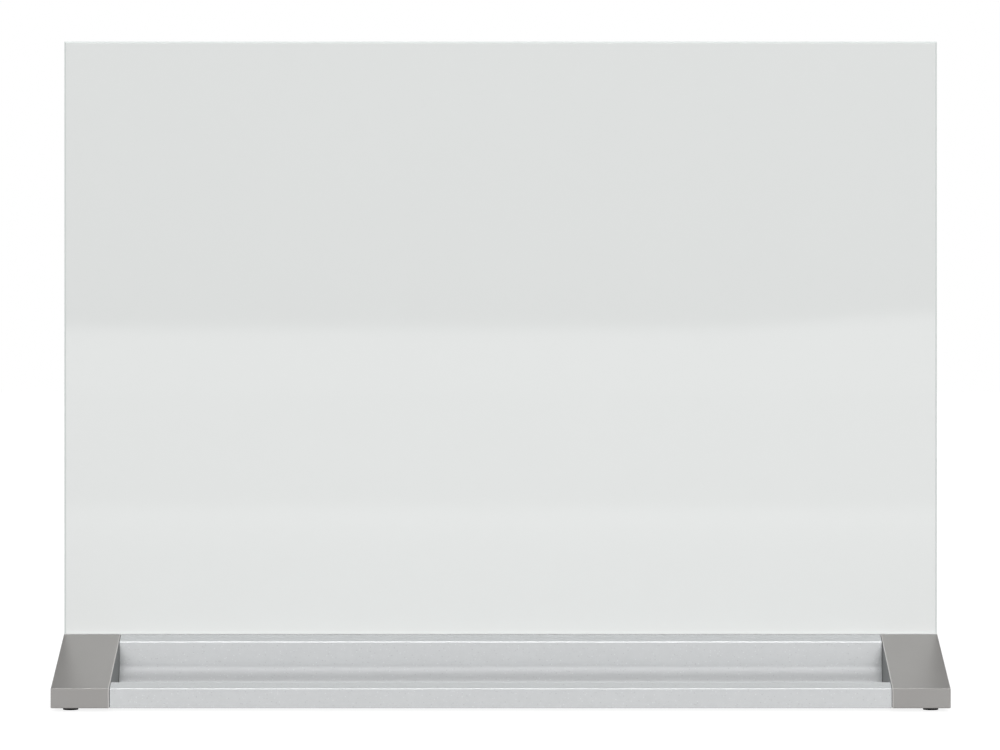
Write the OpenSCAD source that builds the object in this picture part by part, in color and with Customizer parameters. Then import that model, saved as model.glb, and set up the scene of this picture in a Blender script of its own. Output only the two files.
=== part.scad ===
// Magnetic desk whiteboard: a glass board with a steel back stands upright in the slot of a
// wedge-shaped base, whose front half is a pen trough.
// Millimetres. +X to the right along the board, +Y away from the writer, +Z up.
// The origin is on the desk, under the middle of the base.

/* [Board] */
// Width of the glass, which is also the width of the base
glass_w = 410; // [300:5:700]
// Height of the glass
glass_h = 300; // [200:5:450]
// Thickness of the glass
glass_t = 4; // [3:0.5:6]
// Width of the ground bevel round both faces of the glass
arris = 0.9; // [0.2:0.1:1]
// Thickness of the white film behind the glass
film_t = 0.3; // [0.2:0.1:0.6]
// Thickness of the steel sheet that holds magnets
steel_t = 0.6; // [0.4:0.1:1.2]
// Margin of bare film round the steel sheet
steel_margin = 3; // [1:0.5:8]
// Corner radius of the steel sheet
steel_corner_r = 4; // [1:0.5:10]

/* [Base outline] */
// Depth of the base, front to back
base_depth = 94; // [88:1:130]
// Distance from the front face back to the ridge at the glass
front_run = 50; // [46:0.5:60]
// Height of the front face
front_face_h = 9; // [7.5:0.5:12]
// Height of the rear face
rear_face_h = 9; // [7.5:0.5:12]
// Height of the ridge above the underside
ridge_h = 30; // [27:0.5:36]
// Flat land between a ridge and the slot
ridge_land = 1; // [0.8:0.1:1.5]
// Radius on the long outer edges
edge_r = 0.6; // [0.2:0.1:1]

/* [Tray extrusion] */
// Wall of the extrusion
wall = 1.8; // [1.4:0.1:2.2]
// Depth of the strip between the trough and the ridge
strip_depth = 7; // [6.4:0.2:9]
// Depth of the lip in front of the trough
lip_depth = 7; // [6:0.2:9]
// Radius of the scoop at the back of the trough
scoop_r = 15; // [10:0.5:16]
// Radius at the front of the trough floor
trough_front_r = 6; // [2:0.5:6]
// Rounding of the trough's two upper edges
trough_edge_r = 0.8; // [0.2:0.1:1]
// Thickness of the rib in the rear chamber
rib_t = 1.6; // [1.2:0.1:2.4]

/* [Slot and gaskets] */
// Height of the glass's lower edge above the underside
seat_h = 8.5; // [8:0.5:12]
// Walls on both sides of the slot
slot_wall = 2.2; // [2:0.1:2.8]
// Thickness of each gasket strip beside the board
gasket_t = 1; // [0.6:0.1:1.6]
// How far each gasket reaches down the slot
gasket_h = 10; // [8:0.5:14]
// How far each gasket stands above the ridge
gasket_proud = 0.45; // [0.1:0.05:0.6]
// Height of the groove that holds each gasket
groove_h = 2; // [1.5:0.1:3]
// Depth of that groove in the slot's wall
groove_d = 0.9; // [0.5:0.1:1.2]
// Distance from the ridge down to the middle of the groove
groove_drop = 5; // [4:0.5:6]
// Height of the setting blocks under the glass
block_h = 1.5; // [1:0.1:2.5]
// Length of each setting block
block_l = 60; // [30:5:100]
// Sideways place of each setting block, as a share of the glass's width
block_share = 0.25; // [0.15:0.01:0.3]

/* [End caps] */
// Width of each end cap
cap_w = 26.7; // [24:0.1:40]
// Wall of the end caps
cap_wall = 2.2; // [1.8:0.1:2.6]
// How far the end caps stand proud of the extrusion at its front and rear faces
cap_proud = 0.25; // [0.1:0.05:0.5]
// Rounding round the side faces of the end caps
cap_edge_r = 0.5; // [0.2:0.1:0.8]
// Thickness of the stiffening ribs inside the end caps
cap_rib_t = 1.4; // [1:0.1:2]
// How far the spigots reach into the extrusion
spigot_l = 16; // [12:0.5:24]
// Thickness of the cover plate under each end cap
cover_t = 2; // [1.6:0.1:2.6]
// Width of the rim round the cover plate
cover_rim = 1.2; // [0.9:0.1:1.5]
// Diameter of the screw bosses
boss_d = 6.5; // [6:0.1:8]
// Distance from the front and rear faces to the screw bosses
boss_inset = 26; // [22:0.5:30]

/* [Feet] */
// Diameter of a rubber foot
foot_d = 7; // [6:0.5:10]
// Height of a foot below the underside
foot_proud = 1.5; // [1:0.1:3]
// Depth of the recess that a foot is stuck in
foot_recess = 0.8; // [0.5:0.1:1]
// Bevel round the sole of a foot
foot_bevel = 0.5; // [0.2:0.1:0.7]
// Distance from the base's side to the middle of a foot
foot_side = 8; // [7.5:0.1:12]
// Distance from the front and rear faces to the middle of a foot
foot_end = 10.5; // [8:0.5:16]

/* [Screws] */
// Diameter of the self-tapping screws
screw_d = 2.9; // [2.5:0.1:3.2]
// Length of the screws under the tray
tray_screw_l = 8; // [6:0.5:8.5]
// Length of the screws in the cover plates
cover_screw_l = 9.5; // [8:0.5:11]
// Diameter of a countersunk head
head_d = 5.6; // [5:0.1:6]
// Depth of the cross recess
drive_depth = 0.8; // [0.4:0.1:1]

/* [Fits] */
// Gap between the board and each gasket
board_clear = 0.05; // [0.02:0.01:0.2]
// Gap round what is pushed or laid in a plastic or metal recess
fit_clear = 0.15; // [0.1:0.05:0.3]

/* [Hidden] */
$fn = 48;
ARC_STEPS = 6;        // flats on a small rounded corner
SCOOP_STEPS = 24;     // flats on the trough's scoop
CAP_EDGE_STEPS = 3;   // flats across the rounding of a cap's side face
CUT = 1;              // how far a cutter runs past what it cuts

// Levels
under_z = foot_proud;                        // underside of the base
inner_z = under_z + wall;                    // floor of the extrusion's chambers and trough
ridge_z = under_z + ridge_h;
seat_z = under_z + seat_h;                   // lower edge of the glass
slot_floor_z = seat_z - block_h;

// Depths, front to back
front_y = -base_depth / 2;
rear_y = base_depth / 2;
ridge_y = front_y + front_run;
slot_y0 = ridge_y + ridge_land;
glass_y = slot_y0 + gasket_t + board_clear;  // front face of the glass
film_y = glass_y + glass_t;
steel_y = film_y + film_t;
board_back_y = steel_y + steel_t;
slot_y1 = board_back_y + board_clear + gasket_t;
rear_ridge_y = slot_y1 + ridge_land;
trough_y0 = front_y + lip_depth;
trough_y1 = ridge_y - strip_depth;
tray_front_y = front_y + cap_proud;
tray_rear_y = rear_y - cap_proud;

// Widths
half_w = glass_w / 2;
joint_x = half_w - cap_w;                    // where an end cap meets the extrusion
cap_mid_x = half_w - cap_w / 2;

// Slopes of the two upper faces
front_rise = (ridge_h - front_face_h) / front_run;
rear_rise = (ridge_h - rear_face_h) / (rear_y - rear_ridge_y);
front_wall_drop = wall * sqrt(1 + front_rise * front_rise);
rear_wall_drop = wall * sqrt(1 + rear_rise * rear_rise);
front_cap_drop = cap_wall * sqrt(1 + front_rise * front_rise);
rear_cap_drop = cap_wall * sqrt(1 + rear_rise * rear_rise);

// Heights of the upper faces at a depth y, of the end caps and of the tray between them, which
// falls a little faster from the ridges
function front_top(y) = ridge_z - (ridge_y - y) * front_rise;
function rear_top(y) = ridge_z - (y - rear_ridge_y) * rear_rise;
function tray_front_top(y) = front_top(y) - cap_proud * (ridge_y - y) / front_run;
function tray_rear_top(y) = rear_top(y) - cap_proud * (y - rear_ridge_y) / (rear_y - rear_ridge_y);

// Chambers of the extrusion
front_chamber_y1 = slot_y0 - slot_wall;
rear_chamber_y0 = slot_y1 + slot_wall;
rear_chamber_y1 = tray_rear_y - wall;
rib_y = (rear_chamber_y0 + rear_chamber_y1) / 2;
scoop_centre = [trough_y1 - scoop_r, inner_z + scoop_r];

// Screws
head_h = (head_d - screw_d) / 2;             // a 90 degree countersink
tray_screw_x = joint_x - spigot_l / 2;
tray_screw_y = [front_chamber_y1 - 4, (rear_chamber_y0 + rib_y - rib_t / 2) / 2];
boss_y = [front_y + boss_inset, rear_y - boss_inset];
foot_y = [front_y + foot_end, rear_y - foot_end];

// ---- outlines -------------------------------------------------------------------------

function unit(v) = v / norm(v);

// Points on an arc about c, from angle a0 to a1
function arc(c, r, a0, a1, steps) =
    [for (i = [0:steps]) let (a = a0 + (a1 - a0) * i / steps) c + r * [cos(a), sin(a)]];

// The corner b of the path a-b-c, rounded to radius r
function corner(a, b, c, r, steps) =
    r <= 0 ? [b] :
    let (
        u = unit(a - b),
        v = unit(c - b),
        half = acos(u * v) / 2,
        centre = b + unit(u + v) * r / sin(half),
        from = b + u * r / tan(half) - centre,
        to = b + v * r / tan(half) - centre,
        a0 = atan2(from[1], from[0]),
        turn = atan2(to[1], to[0]) - a0,
        short_turn = turn > 180 ? turn - 360 : turn < -180 ? turn + 360 : turn
    )
    arc(centre, r, a0, a0 + short_turn, steps);

// A closed outline from [y, z, radius] corners
function rounded(path) =
    let (n = len(path))
    [for (i = [0:n - 1]) let (
            p = path[i],
            before = path[(i + n - 1) % n],
            after = path[(i + 1) % n],
            steps = p[2] > 2 ? SCOOP_STEPS : ARC_STEPS
        )
        each corner([before[0], before[1]], [p[0], p[1]], [after[0], after[1]], p[2], steps)];

// A 2D outline in depth and height, made a length along X, centred on x
module along_x(length, x = 0)
    translate([x, 0, 0])
        rotate([90, 0, 90])
            linear_extrude(length, center = true)
                children();

// The wedge of the end caps, before any hollow is cut
module cap_outline()
    polygon(rounded([
        [front_y, under_z, edge_r],
        [rear_y, under_z, edge_r],
        [rear_y, under_z + rear_face_h, edge_r],
        [rear_ridge_y, ridge_z, edge_r],
        [ridge_y, ridge_z, edge_r],
        [front_y, under_z + front_face_h, edge_r]
    ]));

// The slightly smaller wedge of the extrusion, which is as high as the caps on the two ridges
module tray_outline()
    polygon(rounded([
        [tray_front_y, under_z, edge_r],
        [tray_rear_y, under_z, edge_r],
        [tray_rear_y, tray_rear_top(tray_rear_y), edge_r],
        [rear_ridge_y, ridge_z, edge_r],
        [ridge_y, ridge_z, edge_r],
        [tray_front_y, tray_front_top(tray_front_y), edge_r]
    ]));

// The slot for the board, with its two gasket grooves
module slot_outline() {
    polygon([
        [slot_y0, slot_floor_z], [slot_y1, slot_floor_z],
        [slot_y1, ridge_z + CUT], [slot_y0, ridge_z + CUT]
    ]);
    polygon([
        [slot_y0 - groove_d, ridge_z - groove_drop - groove_h / 2],
        [slot_y1 + groove_d, ridge_z - groove_drop - groove_h / 2],
        [slot_y1 + groove_d, ridge_z - groove_drop + groove_h / 2],
        [slot_y0 - groove_d, ridge_z - groove_drop + groove_h / 2]
    ]);
}

// The pen trough: a straight back wall that sweeps into the floor
module trough_outline()
    polygon(rounded([
        [trough_y0, inner_z, trough_front_r],
        [trough_y1, inner_z, scoop_r],
        [trough_y1, front_top(trough_y1) + CUT, 0],
        [trough_y0, front_top(trough_y1) + CUT, 0]
    ]));

// What rounds the trough's upper edges: the material between a sharp edge and its arc
module trough_edge_rounding() {
    difference() {
        polygon([
            [trough_y1 - CUT, tray_front_top(trough_y1)],
            [trough_y1 - CUT, front_top(trough_y1) + CUT],
            [trough_y1 + trough_edge_r, front_top(trough_y1 + trough_edge_r) + CUT],
            [trough_y1 + trough_edge_r, tray_front_top(trough_y1 + trough_edge_r)],
            [trough_y1, tray_front_top(trough_y1) - trough_edge_r]
        ]);
        polygon(rounded([
            [trough_y1, under_z, 0],
            [ridge_y, under_z, 0],
            [ridge_y, ridge_z, 0],
            [trough_y1, tray_front_top(trough_y1), trough_edge_r]
        ]));
    }
    difference() {
        polygon([
            [trough_y0 + CUT, front_top(trough_y0) + CUT],
            [trough_y0 - trough_edge_r, front_top(trough_y0) + CUT],
            [trough_y0 - trough_edge_r, tray_front_top(trough_y0 - trough_edge_r)],
            [trough_y0, tray_front_top(trough_y0) - trough_edge_r * 2],
            [trough_y0 + CUT, tray_front_top(trough_y0) - trough_edge_r * 2]
        ]);
        polygon(rounded([
            [front_y, under_z, 0],
            [trough_y0, under_z, 0],
            [trough_y0, tray_front_top(trough_y0), trough_edge_r],
            [front_y, tray_front_top(front_y), 0]
        ]));
    }
}

// Each chamber takes the gap that it is drawn in by, so a spigot is its chamber with a gap

// In the lip
module lip_chamber(gap = 0)
    polygon([
        [tray_front_y + wall + gap, inner_z + gap],
        [trough_y0 - wall - gap, inner_z + gap],
        [trough_y0 - wall - gap, tray_front_top(trough_y0 - wall) - front_wall_drop - gap],
        [tray_front_y + wall + gap, tray_front_top(tray_front_y + wall) - front_wall_drop - gap]
    ]);

// Behind the scoop, whose arc it follows one wall away
module scoop_chamber(gap = 0) {
    r = scoop_r + wall + gap;
    foot_angle = asin((scoop_centre[1] - inner_z - gap) / r);
    polygon(concat(
        [
            [front_chamber_y1 - gap, inner_z + gap],
            [front_chamber_y1 - gap, tray_front_top(front_chamber_y1) - front_wall_drop - gap],
            [trough_y1 + wall + gap, tray_front_top(trough_y1 + wall) - front_wall_drop - gap]
        ],
        arc(scoop_centre, r, 0, -foot_angle, SCOOP_STEPS)
    ));
}

// Under the slot
module slot_chamber()
    polygon([
        [slot_y0, inner_z], [slot_y1, inner_z],
        [slot_y1, slot_floor_z - wall], [slot_y0, slot_floor_z - wall]
    ]);

// Behind the slot, between y0 and y1
module rear_chamber(y0, y1, gap = 0)
    polygon([
        [y0 + gap, inner_z + gap],
        [y1 - gap, inner_z + gap],
        [y1 - gap, tray_rear_top(y1) - rear_wall_drop - gap],
        [y0 + gap, tray_rear_top(y0) - rear_wall_drop - gap]
    ]);

// ---- screws and holes -----------------------------------------------------------------

// A countersunk self-tapping screw pointing up, with the flat of its head at the origin
module screw(length)
    difference() {
        union() {
            cylinder(d1 = head_d, d2 = screw_d, h = head_h);
            cylinder(d = screw_d, h = length);
        }
        for (turn = [0, 90])
            rotate([0, 0, turn])
                translate([0, 0, drive_depth / 2 - CUT / 2])
                    cube([head_d * 0.55, 0.6, drive_depth + CUT], center = true);
    }

// The countersunk hole for that screw, through a plate from its underside
module screw_hole(plate_t) {
    cylinder(d1 = head_d, d2 = screw_d, h = head_h);
    translate([0, 0, -CUT])
        cylinder(d = head_d, h = CUT);
    translate([0, 0, -CUT])
        cylinder(d = screw_d, h = plate_t + 2 * CUT);
}

// ---- board ----------------------------------------------------------------------------

// Tempered glass with a ground bevel round both faces
module glass_panel()
    color([0.88, 0.92, 0.90, 0.6])
        translate([0, glass_y + glass_t / 2, seat_z + glass_h / 2])
            hull() {
                cube([glass_w - 2 * arris, glass_t, glass_h - 2 * arris], center = true);
                cube([glass_w, glass_t - 2 * arris, glass_h], center = true);
            }

// White film bonded to the back of the glass, inside its bevel
module white_film()
    color("white")
        translate([-half_w + arris, film_y, seat_z + arris])
            cube([glass_w - 2 * arris, film_t, glass_h - 2 * arris]);

// Steel sheet bonded to the film
module steel_backing() {
    w = glass_w - 2 * steel_margin;
    h = glass_h - 2 * steel_margin;
    z0 = seat_z + steel_margin;
    color("silver")
        translate([0, steel_y + steel_t, 0])
            rotate([90, 0, 0])
                linear_extrude(steel_t)
                    polygon(rounded([
                        [-w / 2, z0, steel_corner_r],
                        [w / 2, z0, steel_corner_r],
                        [w / 2, z0 + h, steel_corner_r],
                        [-w / 2, z0 + h, steel_corner_r]
                    ]));
}

// ---- tray extrusion -------------------------------------------------------------------

module tray_extrusion()
    color([0.78, 0.79, 0.80])
        difference() {
            along_x(2 * joint_x)
                difference() {
                    tray_outline();
                    trough_outline();
                    trough_edge_rounding();
                    slot_outline();
                    lip_chamber();
                    scoop_chamber();
                    slot_chamber();
                    rear_chamber(rear_chamber_y0, rib_y - rib_t / 2);
                    rear_chamber(rib_y + rib_t / 2, rear_chamber_y1);
                }
            for (side = [-1, 1], y = tray_screw_y)
                translate([side * tray_screw_x, y, under_z])
                    screw_hole(wall);
        }

// ---- slot fittings --------------------------------------------------------------------

// One gasket strip in section: a leg beside the board, a lip on the ridge's land
// and a barb that sits in the groove. wall_y is the slot's wall, and towards is +1 for the
// front strip and -1 for the rear one.
module gasket_outline(wall_y, towards) {
    barb_z = ridge_z - groove_drop;
    lip = ridge_land * 0.6;
    barb_h = groove_h / 2 - fit_clear;
    polygon([
        [wall_y, ridge_z - gasket_h],
        [wall_y + towards * gasket_t, ridge_z - gasket_h + gasket_t],
        [wall_y + towards * gasket_t, ridge_z + gasket_proud],
        [wall_y - towards * lip, ridge_z + gasket_proud],
        [wall_y - towards * lip, ridge_z],
        [wall_y, ridge_z],
        [wall_y, barb_z + barb_h * 0.6],
        [wall_y - towards * (groove_d - fit_clear), barb_z + barb_h],
        [wall_y - towards * (groove_d - fit_clear), barb_z - barb_h],
        [wall_y, barb_z - barb_h * 0.6]
    ]);
}

module front_gasket()
    color([0.45, 0.46, 0.46])
        along_x(glass_w)
            gasket_outline(slot_y0, 1);

module rear_gasket()
    color([0.45, 0.46, 0.46])
        along_x(glass_w)
            gasket_outline(slot_y1, -1);

// A rubber block that the glass stands on
module setting_block(side)
    color([0.16, 0.16, 0.17])
        translate([side * glass_w * block_share, (slot_y0 + slot_y1) / 2, slot_floor_z + block_h / 2])
            cube([block_l, slot_y1 - slot_y0 - 2 * fit_clear, block_h], center = true);

// ---- end caps -------------------------------------------------------------------------

// The wedge at the width of a cap, rounded round both side faces
module cap_solid()
    hull()
        for (step = [0:CAP_EDGE_STEPS]) {
            a = 90 * step / CAP_EDGE_STEPS;
            along_x(cap_w - 2 * cap_edge_r * (1 - sin(a)), cap_mid_x)
                offset(delta = -cap_edge_r * (1 - cos(a)))
                    cap_outline();
        }

// The hollow in a cap, open underneath
module cap_cavity_outline() {
    y0 = front_y + cap_wall;
    y1 = slot_y0 - cap_wall;
    y2 = slot_y1 + cap_wall;
    y3 = rear_y - cap_wall;
    polygon([
        [y0, under_z - CUT],
        [y3, under_z - CUT],
        [y3, rear_top(y3) - rear_cap_drop],
        [y2, rear_top(y2) - rear_cap_drop],
        [y2, slot_floor_z - cap_wall],
        [y1, slot_floor_z - cap_wall],
        [y1, front_top(y1) - front_cap_drop],
        [y0, front_top(y0) - front_cap_drop]
    ]);
}

// Ribs and screw bosses that hang from the top of the hollow down to the cover plate
module cap_ribs_and_bosses() {
    floor_z = under_z + cover_t;
    for (y = boss_y) {
        translate([cap_mid_x, y, floor_z])
            cylinder(d = boss_d, h = ridge_h);
        translate([cap_mid_x, y, floor_z + ridge_h / 2 + cover_t])
            cube([cap_w - cap_wall, cap_rib_t, ridge_h], center = true);
    }
}

// The three tongues that plug into the extrusion
module cap_spigots() {
    reach = spigot_l + cap_wall / 2;
    along_x(reach, joint_x + cap_wall / 2 - reach / 2) {
        lip_chamber(fit_clear);
        scoop_chamber(fit_clear);
        rear_chamber(rear_chamber_y0, rib_y - rib_t / 2, fit_clear);
    }
}

// The right-hand cap
module end_cap()
    color([0.61, 0.61, 0.60])
        difference() {
            union() {
                difference() {
                    cap_solid();
                    along_x(cap_w - 2 * cap_wall, cap_mid_x)
                        cap_cavity_outline();
                    translate([cap_mid_x, 0, under_z])
                        cube([cap_w - 2 * cover_rim, base_depth - 2 * cover_rim, 2 * cover_t], center = true);
                }
                intersection() {
                    cap_solid();
                    cap_ribs_and_bosses();
                }
                cap_spigots();
            }
            along_x(cap_w + 2 * CUT, cap_mid_x)
                slot_outline();
            for (y = boss_y)
                translate([cap_mid_x, y, under_z + cover_t])
                    cylinder(d = screw_d, h = cover_screw_l - cover_t);
            for (y = tray_screw_y)
                translate([tray_screw_x, y, under_z])
                    cylinder(d = screw_d, h = tray_screw_l);
        }

// The plate that closes the cap from below and carries its two feet
module cover_plate()
    color([0.42, 0.42, 0.42])
        difference() {
            translate([cap_mid_x, 0, under_z + cover_t / 2])
                cube([
                    cap_w - 2 * cover_rim - 2 * fit_clear,
                    base_depth - 2 * cover_rim - 2 * fit_clear,
                    cover_t
                ], center = true);
            for (y = boss_y)
                translate([cap_mid_x, y, under_z])
                    screw_hole(cover_t);
            for (y = foot_y)
                translate([half_w - foot_side, y, under_z - CUT])
                    cylinder(d = foot_d + 2 * fit_clear, h = foot_recess + CUT);
        }

module cover_screws()
    color("dimgray")
        for (y = boss_y)
            translate([cap_mid_x, y, under_z])
                screw(cover_screw_l);

module tray_screws()
    color("silver")
        for (y = tray_screw_y)
            translate([tray_screw_x, y, under_z])
                screw(tray_screw_l);

// A stick-on rubber foot with a bevelled sole, standing on the desk
module foot(side, y)
    color([0.05, 0.05, 0.05])
        translate([side * (half_w - foot_side), y, 0])
            rotate_extrude()
                polygon([
                    [0, 0],
                    [foot_d / 2 - foot_bevel, 0],
                    [foot_d / 2, foot_bevel],
                    [foot_d / 2, foot_proud + foot_recess],
                    [0, foot_proud + foot_recess]
                ]);

// ---- assembly -------------------------------------------------------------------------

module on_the_left()
    mirror([1, 0, 0])
        children();

glass_panel();
white_film();
steel_backing();
tray_extrusion();
front_gasket();
rear_gasket();
setting_block(-1);  // left_setting_block
setting_block(1);  // right_setting_block
on_the_left() end_cap();  // left_end_cap
end_cap();  // right_end_cap
on_the_left() cover_plate();  // left_cover_plate
cover_plate();  // right_cover_plate
on_the_left() cover_screws();  // left_cover_screws
cover_screws();  // right_cover_screws
on_the_left() tray_screws();  // left_tray_screws
tray_screws();  // right_tray_screws
foot(-1, foot_y[0]);  // front_left_foot
foot(1, foot_y[0]);  // front_right_foot
foot(-1, foot_y[1]);  // rear_left_foot
foot(1, foot_y[1]);  // rear_right_foot
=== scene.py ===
import math

import bmesh
import bpy
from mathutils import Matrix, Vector


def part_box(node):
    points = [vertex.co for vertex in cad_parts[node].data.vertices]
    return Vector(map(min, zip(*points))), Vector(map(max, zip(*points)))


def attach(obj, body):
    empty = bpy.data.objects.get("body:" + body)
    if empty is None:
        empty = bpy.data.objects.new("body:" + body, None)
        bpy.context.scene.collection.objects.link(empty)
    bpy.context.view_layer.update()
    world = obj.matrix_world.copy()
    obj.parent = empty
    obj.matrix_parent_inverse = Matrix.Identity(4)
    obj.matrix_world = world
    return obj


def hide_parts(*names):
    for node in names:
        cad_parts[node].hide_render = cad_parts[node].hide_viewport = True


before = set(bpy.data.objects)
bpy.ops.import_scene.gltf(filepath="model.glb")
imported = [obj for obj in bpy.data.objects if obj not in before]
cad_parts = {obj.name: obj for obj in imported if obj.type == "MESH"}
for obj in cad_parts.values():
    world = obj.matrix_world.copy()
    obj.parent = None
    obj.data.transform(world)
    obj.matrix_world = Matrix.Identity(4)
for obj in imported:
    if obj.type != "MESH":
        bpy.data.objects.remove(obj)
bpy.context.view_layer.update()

MM = 0.001

# ---- the shot ----------------------------------------------------------------------------

EYE_DISTANCE = 1.702    # from the lens to the front of the glass, in metres
EYE_HEIGHT = 0.1533
EYE_X = -0.0003
LENS = 130.46           # in mm, as is the sensor's width
SENSOR = 36
FAR = 100               # in metres, how far the camera sees
FLOOR_SIZE = 60.0       # in metres

# Light levels, where 1 shows a white surface as white
WORLD_LEVEL = 0.80
KEY_LEVEL = 0.51
KEY_PLACE = (0.1, -2.4, 0.75)
FILL_LEVEL = 0.18
FILL_PLACE = (0.6, 1.9, 1.1)
SOFTBOX_SIZE = (1.4, 1.0)
PAPER = "#A0A0A0"       # the floor's own colour, as the object is lit by it
PAPER_GLOW = 0.86       # what the camera sees of it, before its shadows
PAPER_MIRRORED = 0.72   # what glossy surfaces see of it
PAPER_SHADE = "#828282" # the part of its look that the lamps light, and a shadow darkens

# What glossy surfaces mirror: a level for each zone of the studio, where 1 is white
HORIZON = 1.0           # low down, all round
FRONT_BAND = 1.4        # a bright strip of wall just above the dark card
FRONT_HIGH = 0.52       # high up in front
BACK_HIGH = 0.12        # high up behind the board
TOP_LAMP = 5.6          # a softbox above, a little toward the writer
SIDES_HIGH = 0.5        # above the windows
LEFT_WINDOW = 1.6       # low strips of window at both sides
RIGHT_WINDOW = 2.1
CARD = 0.03             # a dark card behind the camera, just as large as the glass mirrors it
CARD_EDGE = 0.0104      # its lower edge straight ahead and to the left
CARD_CLIMB = 0.0042     # how much higher that edge is at the right
CARD_CLIMB_FROM = 0.055 # where the edge begins to climb
CARD_SOFT = 0.0050      # the height over which it fades
CARD_REACH = 0.128      # how far the card reaches to either side
CARD_TOP = 0.095        # its upper edge

# Each zone: its level, then its limits. A limit names an axis of the mirrored direction, its
# value where the zone has faded out and its value where the zone is full. "aside" is how far the
# direction leans to either side, and "above" its height over the card's climbing lower edge.
ZONES = (
    (FRONT_HIGH, (("y", 0.2, -0.2), ("z", 0.0, 0.65))),
    (FRONT_BAND, (("y", 0.0, -0.5), ("z", CARD_TOP, CARD_TOP * 1.2), ("z", 0.20, 0.12))),
    (BACK_HIGH, (("y", -0.35, 0.35), ("z", 0.20, 0.60))),
    (TOP_LAMP, (("z", 0.92, 0.96), ("y", 0.01, -0.04))),
    (SIDES_HIGH, (("aside", 0.45, 0.75), ("z", 0.06, 0.20))),
    (LEFT_WINDOW, (("x", -0.75, -0.92), ("z", 0.15, 0.08))),
    (RIGHT_WINDOW, (("x", 0.75, 0.92), ("z", 0.15, 0.08))),
    (CARD, (
        ("y", 0.0, -0.5), ("aside", CARD_REACH * 1.1, CARD_REACH), ("z", CARD_TOP * 1.1, CARD_TOP),
        ("above", CARD_EDGE, CARD_EDGE + CARD_SOFT),
    )),
)


def linear(code):
    """sRGB hex to the linear RGBA that Blender's sockets take."""
    parts = [int(code[i:i + 2], 16) / 255 for i in (1, 3, 5)]
    return tuple(p / 12.92 if p <= 0.04045 else ((p + 0.055) / 1.055) ** 2.4 for p in parts) + (1.0,)


def add(tree, kind, inputs=None, **settings):
    """Adds a node. Each input is a value, a socket, a node, whose first output feeds it, or a
    list of nodes that all feed it."""
    node = tree.nodes.new(kind)
    for key, value in settings.items():
        setattr(node, key, value)
    for key, value in (inputs or {}).items():
        for feed in value if isinstance(value, list) else [value]:
            if isinstance(feed, bpy.types.Node):
                feed = feed.outputs[0]
            if isinstance(feed, bpy.types.NodeSocket):
                tree.links.new(feed, node.inputs[key])
            else:
                node.inputs[key].default_value = feed
    return node


# ---- the studio --------------------------------------------------------------------------

def make_camera():
    data = bpy.data.cameras.new("camera")
    data.lens = LENS
    data.sensor_width = SENSOR
    data.clip_end = FAR
    camera = bpy.data.objects.new("camera", data)
    bpy.context.collection.objects.link(camera)
    camera.location = (EYE_X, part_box("glass_panel")[0].y - EYE_DISTANCE, EYE_HEIGHT)
    camera.rotation_euler = (math.radians(90), 0, 0)
    bpy.context.scene.camera = camera


def make_world():
    """A pale studio, white to the camera, whose zones show in glossy surfaces."""
    world = bpy.data.worlds.new("studio")
    bpy.context.scene.world = world
    world.use_nodes = True
    tree = world.node_tree
    tree.nodes.clear()
    way = add(tree, "ShaderNodeTexCoord").outputs["Generated"]
    axis = add(tree, "ShaderNodeSeparateXYZ", {0: way}).outputs
    climb = add(tree, "ShaderNodeMapRange", {
        "Value": axis["X"], "From Min": CARD_CLIMB_FROM, "From Max": CARD_REACH, "To Max": CARD_CLIMB,
    }, interpolation_type="SMOOTHSTEP")
    place = {
        "x": axis["X"], "y": axis["Y"], "z": axis["Z"],
        "aside": add(tree, "ShaderNodeMath", {0: axis["X"]}, operation="ABSOLUTE"),
        "above": add(tree, "ShaderNodeMath", {0: axis["Z"], 1: climb}, operation="SUBTRACT"),
    }
    mirrored = HORIZON
    for level, limits in ZONES:
        share = 1.0
        for name, out, full in limits:
            step = add(tree, "ShaderNodeMapRange", {
                "Value": place[name], "From Min": out, "From Max": full,
            }, interpolation_type="SMOOTHSTEP")
            share = add(tree, "ShaderNodeMath", {0: share, 1: step}, operation="MULTIPLY")
        mirrored = add(tree, "ShaderNodeMix", {"Factor": share, "A": mirrored, "B": level})
    path = add(tree, "ShaderNodeLightPath").outputs
    lit = add(tree, "ShaderNodeMix", {"Factor": path["Is Glossy Ray"], "A": WORLD_LEVEL, "B": mirrored})
    seen = add(tree, "ShaderNodeMix", {"Factor": path["Is Camera Ray"], "A": lit, "B": 1.0})
    back = add(tree, "ShaderNodeBackground", {"Color": (1, 1, 1, 1), "Strength": seen})
    add(tree, "ShaderNodeOutputWorld", {"Surface": back})


def make_softbox(name, place, level):
    """A softbox aimed at the object. Its power makes white that faces it show at about its level.
    Its mirror image is left to the world's zones."""
    light = bpy.data.lights.new(name, "AREA")
    light.shape = "RECTANGLE"
    light.size, light.size_y = SOFTBOX_SIZE
    place = Vector(place)
    light.energy = level * math.pi ** 2 * place.length_squared
    lamp = bpy.data.objects.new(name, light)
    bpy.context.collection.objects.link(lamp)
    lamp.location = place
    lamp.rotation_euler = (-place).to_track_quat("-Z", "Y").to_euler()
    lamp.visible_glossy = False


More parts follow.
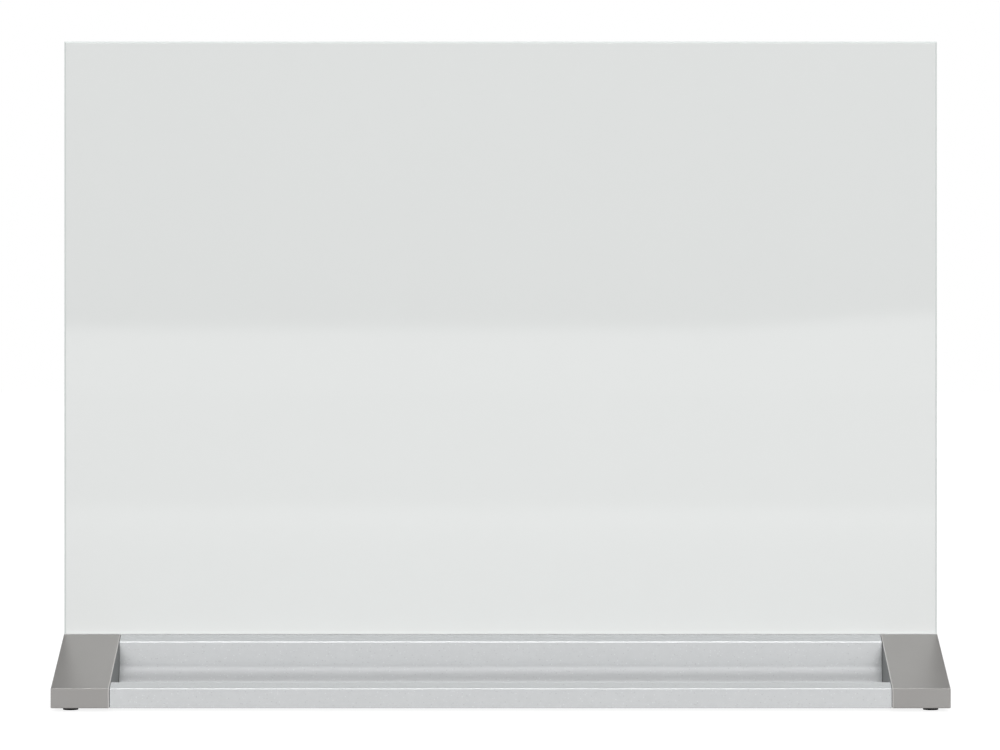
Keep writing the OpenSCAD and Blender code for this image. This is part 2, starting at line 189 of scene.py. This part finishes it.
def make_floor():
    """White paper that keeps the object's shadow."""
    material = bpy.data.materials.new("white_paper_sweep")
    material.use_nodes = True
    tree = material.node_tree
    tree.nodes.clear()
    path = add(tree, "ShaderNodeLightPath").outputs
    seen = path["Is Camera Ray"]
    for ray in ("Is Glossy Ray", "Is Transmission Ray"):
        seen = add(tree, "ShaderNodeMath", {0: seen, 1: path[ray]}, operation="MAXIMUM")
    plain = add(tree, "ShaderNodeBsdfDiffuse", {"Color": linear(PAPER)})
    level = add(tree, "ShaderNodeMix", {
        "Factor": path["Is Glossy Ray"], "A": PAPER_GLOW, "B": PAPER_MIRRORED,
    })
    glow = add(tree, "ShaderNodeEmission", {"Color": (1, 1, 1, 1), "Strength": level})
    shade = add(tree, "ShaderNodeBsdfDiffuse", {"Color": linear(PAPER_SHADE)})
    bright = add(tree, "ShaderNodeAddShader", {0: glow, 1: shade})
    mixed = add(tree, "ShaderNodeMixShader", {0: seen, 1: plain, 2: bright})
    add(tree, "ShaderNodeOutputMaterial", {"Surface": mixed})
    half = FLOOR_SIZE / 2
    corners = [(-half, -half, 0), (half, -half, 0), (half, half, 0), (-half, half, 0)]
    mesh = bpy.data.meshes.new("floor")
    mesh.from_pydata(corners, [], [range(4)])
    mesh.materials.append(material)
    floor = bpy.data.objects.new("floor", mesh)
    bpy.context.collection.objects.link(floor)


# ---- materials ---------------------------------------------------------------------------

NOISE = "ShaderNodeTexNoise"
CELLS = "ShaderNodeTexVoronoi"


def principled(name, **sockets):
    """A material with one Principled shader; gives back the material, its tree and the shader."""
    material = bpy.data.materials.new(name)
    material.use_nodes = True
    shader = material.node_tree.nodes["Principled BSDF"]
    for key, value in sockets.items():
        shader.inputs[key.replace("_", " ")].default_value = value
    return material, material.node_tree, shader


def texture(tree, kind, size_mm, stretch=1):
    """A texture on Object coordinates whose cells are size_mm across, and stretch times as long
    along the product."""
    place = add(tree, "ShaderNodeTexCoord").outputs["Object"]
    scaled = add(tree, "ShaderNodeMapping", {"Vector": place, "Scale": (1 / stretch, 1, 1)})
    return add(tree, kind, {"Vector": scaled, "Scale": 1 / (size_mm * MM)})


def dress(tree, shader, colour, rough, relief=None):
    """Feeds the shader. colour is a pattern and its two hex ends, rough a pattern and its two
    levels, relief a pattern and its depth in mm."""
    pattern, dark, light = colour
    mix = add(tree, "ShaderNodeMix", {
        "Factor": pattern, "A": linear(dark), "B": linear(light),
    }, data_type="RGBA")
    tree.links.new(mix.outputs["Result"], shader.inputs["Base Color"])
    pattern, low, high = rough
    level = add(tree, "ShaderNodeMapRange", {"Value": pattern, "To Min": low, "To Max": high})
    tree.links.new(level.outputs[0], shader.inputs["Roughness"])
    if relief:
        pattern, depth_mm = relief
        node = add(tree, "ShaderNodeBump", {"Height": pattern, "Distance": depth_mm * MM})
        tree.links.new(node.outputs[0], shader.inputs["Normal"])


def back_painted_glass():
    """Clear tempered float glass over white enamel: an even white, seen through a mirror-smooth
    front. Tempering leaves a long shallow wave, which bends what the glass mirrors. The IOR is set
    above the 1.52 of plain float glass, which makes the mirror image stronger."""
    material, tree, shader = principled("back_painted_float_glass", IOR=1.64)
    dress(
        tree, shader,
        colour=(texture(tree, NOISE, 60), "#DCDEDD", "#DDDFDE"),
        rough=(texture(tree, NOISE, 25), 0.01, 0.03),
        relief=(texture(tree, NOISE, 90), 0.004),
    )
    return material


def ground_glass():
    """The edge of the glass, ground by a diamond wheel along its length: frosted and pale green,
    with faint scratches. They are drawn 0.5 mm apart, coarser than real ones, which are too fine
    to draw."""
    material, tree, shader = principled("ground_glass_edge", IOR=1.52)
    scratches = texture(tree, NOISE, 0.5, stretch=30)
    dress(
        tree, shader,
        colour=(texture(tree, NOISE, 6), "#D2D8D6", "#D9DEDC"),
        rough=(scratches, 0.38, 0.42),
        relief=(scratches, 0.001),
    )
    return material


def white_enamel():
    """White enamel on the back of the glass and the film bonded to it: smooth and satin, with a
    faint roller texture."""
    material, tree, shader = principled("rolled_white_enamel")
    dress(
        tree, shader,
        colour=(texture(tree, NOISE, 8), "#DFE1E0", "#E6E8E7"),
        rough=(texture(tree, NOISE, 3), 0.4, 0.5),
        relief=(texture(tree, NOISE, 1.2), 0.01),
    )
    return material


def coated_steel():
    """Sheet steel, coil coated with light grey polyester: satin, with the fine orange peel of
    rolled-on paint and faint streaks along the rolling direction."""
    material, tree, shader = principled("coil_coated_sheet_steel", IOR=1.5)
    peel = texture(tree, NOISE, 1.6)
    dress(
        tree, shader,
        colour=(texture(tree, NOISE, 1.2, stretch=400), "#B6BABC", "#C0C4C6"),
        rough=(peel, 0.34, 0.42),
        relief=(peel, 0.012),
    )
    return material


def sheared_zinc():
    """The sheared edge of the steel sheet: bare, bright and scored across its thickness."""
    material, tree, shader = principled("sheared_zinc_coated_steel", Metallic=1.0)
    dress(
        tree, shader,
        colour=(texture(tree, NOISE, 0.5), "#9DA2A5", "#C3C8CB"),
        rough=(texture(tree, NOISE, 0.4), 0.35, 0.55),
        relief=(texture(tree, NOISE, 0.3), 0.01),
    )
    return material


def anodised_aluminium():
    """Extruded aluminium, bead blasted and clear anodised: pale satin silver with scattered
    flecks. About one cell in ten is brighter and one in ten duller. The cells are drawn 0.7 mm
    apart, coarser than real ones, so that the flecks show."""
    material, tree, shader = principled("blasted_anodised_aluminium", Metallic=0.7)
    cells = texture(tree, CELLS, 0.7)
    kind = add(tree, "ShaderNodeSeparateColor", {0: cells.outputs["Color"]})
    core = add(tree, "ShaderNodeMapRange", {
        "Value": cells.outputs["Distance"], "From Min": 0.45, "From Max": 0.25,
    })
    cloud = texture(tree, NOISE, 3)
    value = add(tree, "ShaderNodeMapRange", {"Value": cloud, "To Min": 0.42, "To Max": 0.58})
    for out, full, strength in ((0.90, 0.97, 0.40), (0.10, 0.03, -0.40)):
        chosen = add(tree, "ShaderNodeMapRange", {
            "Value": kind, "From Min": out, "From Max": full, "To Max": strength,
        })
        value = add(tree, "ShaderNodeMath", {0: chosen, 1: core, 2: value}, operation="MULTIPLY_ADD")
    dress(
        tree, shader,
        colour=(value, "#BBBDBE", "#E8EAEB"),
        rough=(texture(tree, NOISE, 0.6), 0.24, 0.27),
        relief=(texture(tree, NOISE, 0.4), 0.002),
    )
    return material


def painted_abs(name, dark, light):
    """Moulded ABS sprayed with a warm silver-grey metallic paint: satin, with a fine orange peel.
    Its paler copy is a painted highlight on the rounding along the joint."""
    material, tree, shader = principled(name, IOR=1.5, Metallic=0.4)
    dress(
        tree, shader,
        colour=(texture(tree, NOISE, 14), dark, light),
        rough=(texture(tree, NOISE, 0.8), 0.28, 0.33),
        relief=(texture(tree, NOISE, 0.7), 0.003),
    )
    return material


def bare_abs():
    """The same moulding, dull and spark-eroded, in a darker colour that is painted shade for the shadow
    in the trough's ends.
    """
    material, tree, shader = principled("spark_eroded_abs", IOR=1.5)
    dress(
        tree, shader,
        colour=(texture(tree, NOISE, 5), "#7C7E7E", "#838585"),
        rough=(texture(tree, NOISE, 0.4), 0.5, 0.65),
        relief=(texture(tree, NOISE, 0.35), 0.012),
    )
    return material


def dark_abs():
    """Moulded dark grey ABS of the parts underneath: dull, with a fine spark-eroded grain."""
    material, tree, shader = principled("moulded_dark_abs", IOR=1.5)
    grain = texture(tree, NOISE, 0.6)
    dress(
        tree, shader,
        colour=(texture(tree, NOISE, 6), "#454545", "#4B4B4A"),
        rough=(grain, 0.45, 0.6),
        relief=(grain, 0.02),
    )
    return material


def grey_epdm():
    """Extruded light grey rubber strip: dull, with faint lines along its length."""
    material, tree, shader = principled("extruded_grey_epdm", Specular_IOR_Level=0.3)
    dress(
        tree, shader,
        colour=(texture(tree, NOISE, 0.8, stretch=30), "#DADCDB", "#E2E3E2"),
        rough=(texture(tree, NOISE, 1), 0.6, 0.75),
        relief=(texture(tree, NOISE, 0.4, stretch=30), 0.01),
    )
    return material


def black_rubber():
    """Moulded black rubber: deep black and dull."""
    material, tree, shader = principled("moulded_black_rubber", Specular_IOR_Level=0.05)
    dress(
        tree, shader,
        colour=(texture(tree, NOISE, 1), "#070707", "#0B0B0B"),
        rough=(texture(tree, NOISE, 0.5), 0.7, 0.85),
        relief=(texture(tree, NOISE, 0.4), 0.01),
    )
    return material


def zinc_plate():
    """Bright zinc plating on the cold-headed screws: a clean bluish metal."""
    material, tree, shader = principled("zinc_plated_steel", Metallic=1.0)
    dress(
        tree, shader,
        colour=(texture(tree, NOISE, 0.6), "#B9BEC2", "#CDD2D6"),
        rough=(texture(tree, NOISE, 0.3), 0.29, 0.38),
    )
    return material


# ---- mesh tools --------------------------------------------------------------------------

MERGE = 0.001 * MM      # points closer than this are one
SAME = 0.01 * MM        # places closer than this line up
FLAT = 0.5              # facets that turn by less than this, in degrees, are one face


def merged_copy(node):
    """A clean mesh of a CAD node: its loose triangles joined and its flat faces made whole."""
    bm = bmesh.new()
    bm.from_mesh(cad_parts[node].data)
    bmesh.ops.remove_doubles(bm, verts=bm.verts, dist=MERGE)
    bmesh.ops.dissolve_limit(bm, angle_limit=math.radians(FLAT), verts=bm.verts, edges=bm.edges)
    return bm


def new_object(name, bm):
    mesh = bpy.data.meshes.new(name)
    bm.to_mesh(mesh)
    bm.free()
    piece = bpy.data.objects.new(name, mesh)
    bpy.context.collection.objects.link(piece)
    return piece


def applied(piece):
    """Turns a piece's modifiers into its plain mesh."""
    bpy.context.view_layer.update()
    seen = piece.evaluated_get(bpy.context.evaluated_depsgraph_get())
    piece.data = bpy.data.meshes.new_from_object(seen)
    piece.modifiers.clear()
    return piece


def finished(name, bm, materials, soften=0.0, segments=2, sharp=35):
    """A piece with clean shading. Edges that turn by more than sharp, in degrees, stay crisp, and
    soften rounds them."""
    piece = new_object(name, bm)
    for material in materials:
        piece.data.materials.append(material)
    piece.data.shade_smooth()
    piece.data.set_sharp_from_angle(angle=math.radians(sharp))
    if soften:
        edge = piece.modifiers.new("edge", "BEVEL")
        edge.width = soften
        edge.segments = segments
        edge.limit_method = "ANGLE"
        edge.angle_limit = math.radians(sharp)
    weigh = piece.modifiers.new("weigh", "WEIGHTED_NORMAL")
    weigh.keep_sharp = True
    return applied(piece)


def settle(piece, body, slot, *nodes):
    """Puts a piece on its body, in place of its CAD nodes."""
    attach(piece, body)
    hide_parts(*nodes)


def make_plain(name, node, body, slot, look, soften):
    """A piece that is its CAD node with softened edges."""
    settle(finished(name, merged_copy(node), [LOOK[look]], soften), body, slot, node)


# ---- the board ---------------------------------------------------------------------------

FILM_GAP = 0.05 * MM
SHEET_EDGE = 0.08 * MM  # the rounding that shears leave
STRAIGHT = 0.99         # a face whose normal reaches this along an axis faces that way
ACROSS = 0.3            # a face whose normal stays below this along an axis runs along it


def make_glass():
    """Clear in front and enamelled behind, with a ground edge and bevels all round."""
    bm = merged_copy("glass_panel")
    piece = finished("glass_board", bm, [LOOK["glass"], LOOK["edge"], LOOK["enamel"]], sharp=10)
    for face in piece.data.polygons:
        if face.normal.y > STRAIGHT:
            face.material_index = 2
        elif face.normal.y > -STRAIGHT:
            face.material_index = 1
    settle(piece, "board", "tempered_glass", "glass_panel")


def make_film():
    """The film stands a hair clear of the glass, so that the two faces don't flicker."""
    bm = merged_copy("white_film")
    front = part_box("white_film")[0].y
    for vertex in bm.verts:
        if vertex.co.y < front + SAME:
            vertex.co.y = front + FILM_GAP
    settle(finished("white_film_sheet", bm, [LOOK["enamel"]]), "board", "white_coating", "white_film")


def make_steel_sheet():
    """Coated on both faces, with bare sheared edges."""
    looks = [LOOK["steel"], LOOK["sheared"]]
    piece = finished("steel_sheet", merged_copy("steel_backing"), looks, SHEET_EDGE)
    for face in piece.data.polygons:
        if abs(face.normal.y) < ACROSS:
            face.material_index = 1
    settle(piece, "board", "coated_steel", "steel_backing")


# ---- the base ----------------------------------------------------------------------------

CAP_EDGE_R = 0.5 * MM   # the rounding round a cap's side faces
MOULDED_EDGE = 0.2 * MM
SAW_GAP = 0.2 * MM      # between the sawn end of the extrusion and a cap
SAW_BURR = 0.2 * MM     # width of its deburred edge
JOINT_FACE = 0.9        # a cap's face whose normal points at the tray by more is a joint face
JOINT_EDGE = 0.1        # one that points there by more than this is on the rounding
JOINT_NEAR = 0.05 * MM  # how near the joint the centre of a joint face lies


def make_tray():
    """The extrusion is sawn a little short of the caps and deburred: a fine dark joint."""
    bm = merged_copy("tray_extrusion")
    low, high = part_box("tray_extrusion")
    for vertex in bm.verts:
        if vertex.co.x < low.x + SAW_GAP / 2:
            vertex.co.x = low.x + SAW_GAP
        elif vertex.co.x > high.x - SAW_GAP / 2:
            vertex.co.x = high.x - SAW_GAP
    piece = finished("pen_tray", bm, [LOOK["aluminium"]], SAW_BURR, segments=1, sharp=60)
    settle(piece, "base", "anodised_aluminium", "tray_extrusion")


def make_cap(side, sign):
    """The cap is painted all over its outside. Its face toward the trough takes a darker copy, painted
    shade, and the rounding along the joint a paler one, a painted highlight."""
    node = side + "_end_cap"
    looks = [LOOK["paint"], LOOK["bare"], LOOK["paint_edge"]]
    piece = finished(node + "_moulding", merged_copy(node), looks)
    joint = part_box("tray_extrusion")[1 if sign > 0 else 0].x
    for face in piece.data.polygons:
        toward_tray = -sign * face.normal.x
        away = abs(face.center.x - joint)
        # the face toward the trough takes the darker copy: painted shade
        if toward_tray > JOINT_FACE and away < JOINT_NEAR:
            face.material_index = 1
        # the rounding along the joint takes the paler copy: a painted highlight
        elif JOINT_EDGE < toward_tray <= JOINT_FACE and away < CAP_EDGE_R:
            face.material_index = 2
    settle(piece, "base", "grey_plastic", node)


LIP_CURL = 0.08 * MM    # how far the free edge of a gasket's lip stands off the ridge
LIP_LIMIT = 1.0 * MM    # a lip is thinner than this
STRIP_EDGE = 0.08 * MM


def make_gasket(name, node, sign):
    """The lip curls up along its free edge, which leaves a fine dark line under it."""
    bm = merged_copy(node)
    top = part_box(node)[1].z
    free_edge = max(v.co.y * sign for v in bm.verts if v.co.z > top - LIP_CURL / 2)
    for vertex in bm.verts:
        under = top - LIP_LIMIT < vertex.co.z < top - LIP_CURL / 2
        if under and abs(vertex.co.y * sign - free_edge) < SAME:
            vertex.co.z += LIP_CURL
    settle(finished(name, bm, [LOOK["epdm"]], STRIP_EDGE), "base", "grey_rubber", node)


THREAD_D = 2.9 * MM
CORE_D = 2.1 * MM
PITCH = 1.06 * MM
POINT_L = 1.6 * MM
DRIVE_WIDTH = 3.0 * MM
DRIVE_DEPTH = 0.9 * MM
SCREW_SINK = 0.12 * MM  # how far a tightened head sits below the face around it

# Shares that shape a screw
TIP = 0.25              # the point's tip, of the core's radius
THREAD_START = 0.8      # where the thread begins, of the head's height
BLADE_R = 0.7           # radius of a square cone, of its side
BLADE_TIP = 0.5         # a recess blade's narrow end, of its wide end
BLADE_OUT = 0.2         # how far a blade begins outside the head, of the recess's depth
BLADE_THIN = 0.24       # a blade's thickness, of its width

HEAD_SIDES = 40
CORE_SIDES = 28
TURN_STEPS = 20         # for each turn of the thread
SCREW_SHARP = 30        # edges that turn by more, in degrees, stay crisp


def geometry_tree(name, *inputs):
    """An empty Geometry Nodes tree; each input is a name and a kind of socket."""
    tree = bpy.data.node_groups.new(name, "GeometryNodeTree")
    tree.interface.new_socket("Geometry", in_out="INPUT", socket_type="NodeSocketGeometry")
    tree.interface.new_socket("Geometry", in_out="OUTPUT", socket_type="NodeSocketGeometry")
    for label, kind in inputs:
        tree.interface.new_socket(label, in_out="INPUT", socket_type="NodeSocket" + kind)
    return tree, add(tree, "NodeGroupInput").outputs


def grown(piece, tree, **values):
    """Runs a Geometry Nodes tree on a piece and keeps the result as its plain mesh."""
    modifier = piece.modifiers.new(tree.name, "NODES")
    modifier.node_group = tree
    for item in tree.interface.items_tree:
        key = item.name.replace(" ", "_").lower()
        if item.in_out == "INPUT" and key in values:
            modifier[item.identifier] = values[key]
    return applied(piece)


def screw_tree():
    """A screw at each point of a mesh, its countersunk head down. The nodes set out a thread round
    a core, a blunt point and a cross recess, but what comes out has neither thread nor point, its
    recess is torn, and its mesh isn't closed."""
    tree, given = geometry_tree(
        "self_tapping_screws",
        ("Length", "Float"), ("Thread Diameter", "Float"), ("Core Diameter", "Float"),
        ("Head Diameter", "Float"), ("Pitch", "Float"), ("Point Length", "Float"),
        ("Drive Width", "Float"), ("Drive Depth", "Float"), ("Material", "Material"),
    )

    def raised(shape, height, turn=0.0, squeeze=1.0):
        lift = add(tree, "ShaderNodeCombineXYZ", {"Z": height})
        turned = add(tree, "GeometryNodeTransform", {"Geometry": shape, "Rotation": (0, 0, turn)})
        return add(tree, "GeometryNodeTransform", {
            "Geometry": turned, "Translation": lift, "Scale": (1, squeeze, 1),
        })

    thread_r = add(tree, "ShaderNodeMath", {0: given["Thread Diameter"], 1: 0.5}, operation="MULTIPLY")
    core_r = add(tree, "ShaderNodeMath", {0: given["Core Diameter"], 1: 0.5}, operation="MULTIPLY")
    head_r = add(tree, "ShaderNodeMath", {0: given["Head Diameter"], 1: 0.5}, operation="MULTIPLY")
    head_h = add(tree, "ShaderNodeMath", {0: head_r, 1: thread_r}, operation="SUBTRACT")
    point_l = given["Point Length"]
    shank_l = add(tree, "ShaderNodeMath", {0: given["Length"], 1: point_l}, operation="SUBTRACT")
    tip_r = add(tree, "ShaderNodeMath", {0: core_r, 1: TIP}, operation="MULTIPLY")
    head = add(tree, "GeometryNodeMeshCone", {
        "Vertices": HEAD_SIDES, "Radius Bottom": head_r, "Radius Top": thread_r, "Depth": head_h,
    })
    shank = add(tree, "GeometryNodeMeshCone", {
        "Vertices": CORE_SIDES, "Radius Bottom": core_r, "Radius Top": core_r, "Depth": shank_l,
    })
    tip = add(tree, "GeometryNodeMeshCone", {
        "Vertices": CORE_SIDES, "Radius Bottom": core_r, "Radius Top": tip_r, "Depth": point_l,
    })
    point = raised(tip, shank_l)

    start = add(tree, "ShaderNodeMath", {0: head_h, 1: THREAD_START}, operation="MULTIPLY")
    run = add(tree, "ShaderNodeMath", {0: shank_l, 1: start}, operation="SUBTRACT")
    turns = add(tree, "ShaderNodeMath", {0: run, 1: given["Pitch"]}, operation="DIVIDE")
    spiral = add(tree, "GeometryNodeCurveSpiral", {
        "Resolution": TURN_STEPS, "Start Radius": core_r, "End Radius": core_r,
        "Height": run, "Rotations": turns,
    })
    upright = add(tree, "GeometryNodeSetCurveNormal", {"Curve": spiral}, mode="Z_UP")
    ridge_r = add(tree, "ShaderNodeMath", {0: thread_r, 1: core_r}, operation="SUBTRACT")
    diamond = add(tree, "GeometryNodeCurvePrimitiveCircle", {
        "Resolution": 4, "Radius": ridge_r,
    }, mode="RADIUS")
    swept = add(tree, "GeometryNodeCurveToMesh", {
        "Curve": upright, "Profile Curve": diamond, "Fill Caps": True,
    })
    thread = raised(swept, start)
    solid = add(tree, "GeometryNodeMeshBoolean", {
        "Mesh 2": [head, shank, point, thread],
    }, operation="UNION")

    width, depth = given["Drive Width"], given["Drive Depth"]
    blade_r = add(tree, "ShaderNodeMath", {0: width, 1: BLADE_R}, operation="MULTIPLY")
    blade_tip_r = add(tree, "ShaderNodeMath", {0: blade_r, 1: BLADE_TIP}, operation="MULTIPLY")
    blade_h = add(tree, "ShaderNodeMath", {0: depth, 1: 1 + BLADE_OUT}, operation="MULTIPLY")
    blade_z = add(tree, "ShaderNodeMath", {0: depth, 1: -BLADE_OUT}, operation="MULTIPLY")
    taper = add(tree, "GeometryNodeMeshCone", {
        "Vertices": 4, "Radius Bottom": blade_r, "Radius Top": blade_tip_r, "Depth": blade_h,
    })
    blade = raised(taper, blade_z, turn=math.radians(45), squeeze=BLADE_THIN)
    crossed = raised(blade, 0.0, turn=math.radians(90))
    screw = add(tree, "GeometryNodeMeshBoolean", {
        "Mesh 1": solid, "Mesh 2": [blade, crossed],
    }, operation="DIFFERENCE")
    placed = add(tree, "GeometryNodeInstanceOnPoints", {
        "Points": given["Geometry"], "Instance": screw,
    })
    real = add(tree, "GeometryNodeRealizeInstances", {"Geometry": placed})
    coloured = add(tree, "GeometryNodeSetMaterial", {
        "Geometry": real, "Material": given["Material"],
    })
    add(tree, "NodeGroupOutput", {"Geometry": coloured})
    return tree


def make_screws(name, node, tree):
    """Two screws in a row, front and rear, where the CAD has them."""
    low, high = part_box(node)
    head_d = high.x - low.x
    middle = (low.x + high.x) / 2
    bottom = low.z + SCREW_SINK
    bm = bmesh.new()
    for y in (low.y + head_d / 2, high.y - head_d / 2):
        bm.verts.new((middle, y, bottom))
    piece = grown(
        new_object(name, bm), tree,
        length=high.z - bottom, thread_diameter=THREAD_D, core_diameter=CORE_D,
        head_diameter=head_d, pitch=PITCH, point_length=POINT_L,
        drive_width=DRIVE_WIDTH, drive_depth=DRIVE_DEPTH, material=LOOK["zinc"],
    )
    piece.data.shade_smooth()
    piece.data.set_sharp_from_angle(angle=math.radians(SCREW_SHARP))
    settle(piece, "base", "screw_steel", node)


FOOT_EDGE_R = 0.15 * MM
FOOT_EDGE_STEPS = 4
FOOT_SIDES = 40
SOLE_RINGS = 3
RING_DEPTH = 0.12 * MM
RING_SLOPE = 0.2        # width of a ring groove's sloped side, of the groove's


def arc_points(centre, radius, start, end, steps):
    """Points on an arc, angles in degrees."""
    turns = [math.radians(start + (end - start) * i / steps) for i in range(steps + 1)]
    return [(centre[0] + radius * math.cos(a), centre[1] + radius * math.sin(a)) for a in turns]


def make_foot(name, node):
    """A round rubber foot: a softened edge, and ring grooves in its sole that grip the desk."""
    low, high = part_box(node)
    radius = (high.x - low.x) / 2
    centre = (low + high) / 2
    flat = radius - FOOT_EDGE_R
    groove = flat / (2 * SOLE_RINGS + 1)
    profile = [(0, low.z)]
    for ring in range(SOLE_RINGS):
        inner = groove * (2 * ring + 1)
        profile += [(inner, low.z), (inner + groove * RING_SLOPE, low.z + RING_DEPTH)]
        profile += [(inner + groove * (1 - RING_SLOPE), low.z + RING_DEPTH), (inner + groove, low.z)]
    profile += arc_points((flat, low.z + FOOT_EDGE_R), FOOT_EDGE_R, -90, 0, FOOT_EDGE_STEPS)
    profile += [(radius, high.z), (0, high.z)]
    bm = bmesh.new()
    points = [bm.verts.new((r, 0, z)) for r, z in profile]
    edges = [bm.edges.new(pair) for pair in zip(points, points[1:])]
    bmesh.ops.spin(
        bm, geom=points + edges, cent=(0, 0, 0), axis=(0, 0, 1), angle=math.tau,
        steps=FOOT_SIDES, use_merge=True,
    )
    bmesh.ops.remove_doubles(bm, verts=bm.verts, dist=MERGE)
    bmesh.ops.recalc_face_normals(bm, faces=bm.faces)
    bmesh.ops.translate(bm, verts=bm.verts, vec=(centre.x, centre.y, 0))
    settle(finished(name, bm, [LOOK["rubber"]]), "base", "black_rubber", node)


# ---- the whole ---------------------------------------------------------------------------

make_camera()
make_world()
make_softbox("key_softbox", KEY_PLACE, KEY_LEVEL)
make_softbox("fill_softbox", FILL_PLACE, FILL_LEVEL)
make_floor()
bpy.context.scene.view_settings.view_transform = "Standard"

LOOK = {
    "glass": back_painted_glass(),
    "edge": ground_glass(),
    "enamel": white_enamel(),
    "steel": coated_steel(),
    "sheared": sheared_zinc(),
    "aluminium": anodised_aluminium(),
    "paint": painted_abs("metallic_painted_abs", "#9D9B99", "#A09E9C"),
    # a lighter copy of the paint: a painted highlight for the caps' joint edges
    "paint_edge": painted_abs("metallic_painted_abs_edge", "#C4C2C0", "#C7C5C3"),
    # a darker copy of the moulding: painted shade for the cap faces in the trough
    "bare": bare_abs(),
    "dark": dark_abs(),
    "epdm": grey_epdm(),
    "rubber": black_rubber(),
    "zinc": zinc_plate(),
}

make_glass()
make_film()
make_steel_sheet()
make_tray()
make_gasket("front_gasket_strip", "front_gasket", -1)
make_gasket("rear_gasket_strip", "rear_gasket", 1)
screws = screw_tree()
for side, sign in (("left", -1), ("right", 1)):
    make_cap(side, sign)
    make_plain(side + "_cover", side + "_cover_plate", "base", "dark_plastic", "dark", MOULDED_EDGE)
    make_plain(
        side + "_block", side + "_setting_block", "base", "black_rubber", "rubber", MOULDED_EDGE,
    )
    for kind in ("cover", "tray"):
        make_screws(f"{side}_{kind}_fixings", f"{side}_{kind}_screws", screws)
    for end in ("front", "rear"):
        make_foot(f"{end}_{side}_pad", f"{end}_{side}_foot")
